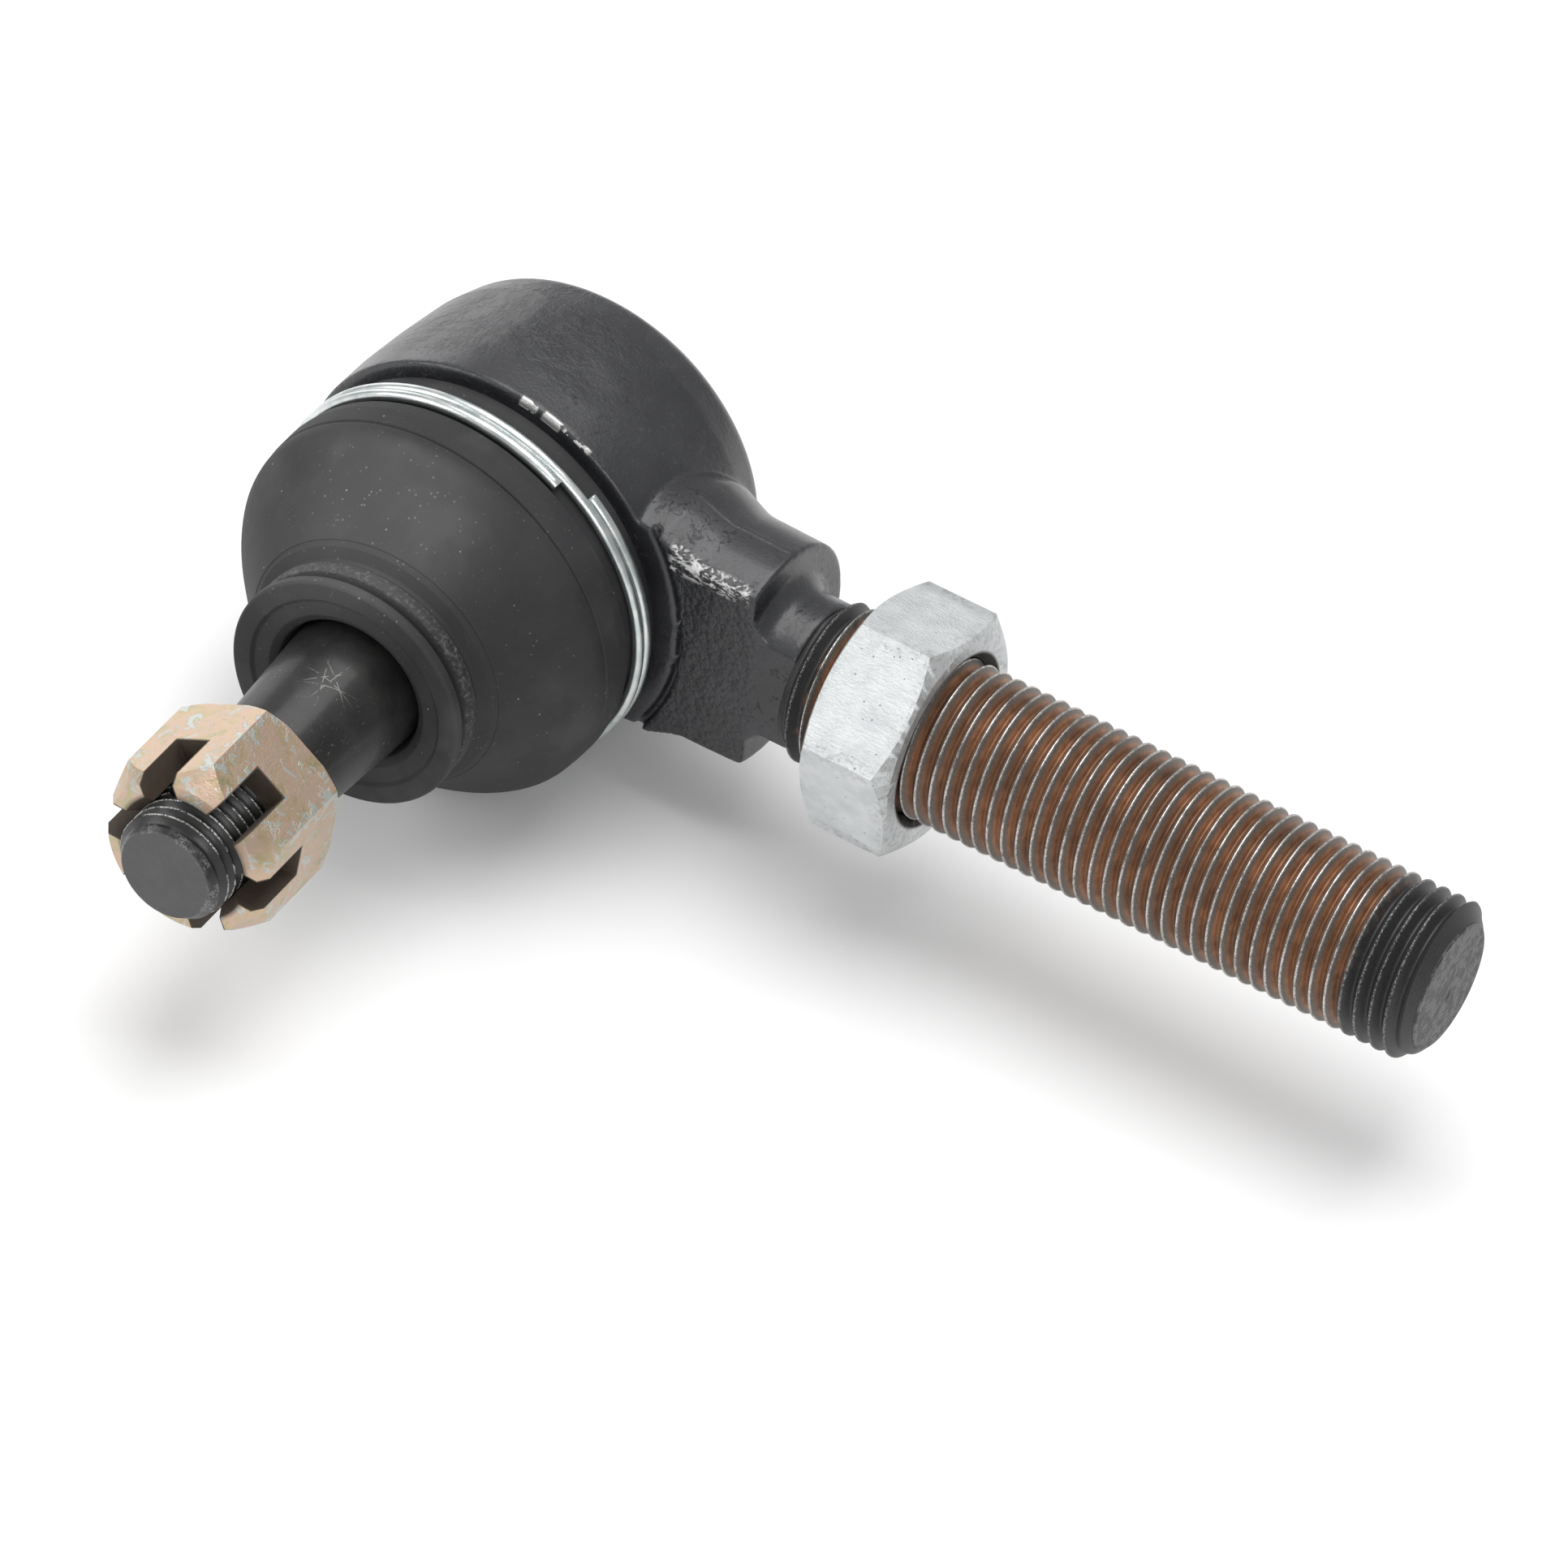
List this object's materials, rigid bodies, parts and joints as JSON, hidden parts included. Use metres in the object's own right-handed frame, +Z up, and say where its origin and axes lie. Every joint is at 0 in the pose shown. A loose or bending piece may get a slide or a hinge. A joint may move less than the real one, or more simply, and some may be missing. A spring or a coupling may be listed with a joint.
{
  "type": "tie rod end ball joint",
  "caption": "Tie-rod end: a ball stud under a rubber dust boot, swivelling in a forged head with a threaded shank, jam nut and castle nut.",
  "frame": {"origin": "centre of the ball, where the shank's axis meets the bearing's axis", "axes": "+X along the threaded shank towards its end, -Y along the bearing towards the stud, +Z up"},
  "size_m": [0.154, 0.0964, 0.0514],
  "materials": {
    "black_forging": "semi-gloss black paint over a rough forged skin",
    "thread_steel": "cut thread, bright crests, brown oiled flanks",
    "black_rubber": "matte moulded rubber, lightly dusty",
    "silver_zinc": "bright zinc plate",
    "yellow_zinc": "yellow zinc plate with grey blotches",
    "stud_steel": "black oxide, oiled",
    "seat_polymer": "natural acetal",
    "spring_steel": "hardened strip"
  },
  "bodies": {
    "housing": {"housing": "black_forging", "front_bearing_seat": "seat_polymer", "rear_bearing_seat": "seat_polymer", "disc_spring": "spring_steel", "closing_plate": "black_forging", "boot_skirt": "black_rubber", "retaining_wire": "silver_zinc"},
    "boot_dome": {"boot_dome": "black_rubber"},
    "boot_collar": {"boot_collar": "black_rubber"},
    "stud": {"ball_stud": "stud_steel"},
    "castle_nut": {"castle_nut": "yellow_zinc"},
    "jam_nut": {"jam_nut": "silver_zinc"}
  },
  "joints": [
    {"name": "stud_swing_across", "type": "hinge", "parent": "housing", "child": "boot_dome", "pos_m": [0, 0, 0], "axis": [0, 0, 1], "range_deg": [-21, 15], "deforming": ["boot_dome"]},
    {"name": "stud_swing_up", "type": "hinge", "parent": "boot_dome", "child": "boot_collar", "pos_m": [0, 0, 0], "axis": [1, 0, 0], "range_deg": [-15.5, 20.5], "deforming": ["boot_dome"]},
    {"name": "stud_spin", "type": "hinge", "parent": "boot_collar", "child": "stud", "pos_m": [0, 0, 0], "axis": [0.0523, -0.9978, 0.0411], "continuous": true},
    {"name": "castle_nut_travel", "type": "slide", "parent": "stud", "child": "castle_nut", "axis": [0.0523, -0.9978, 0.0411], "range_m": [0, 0.014]},
    {"name": "jam_nut_travel", "type": "slide", "parent": "housing", "child": "jam_nut", "axis": [1, 0, 0], "range_m": [-0.0045, 0.065]}
  ]
}
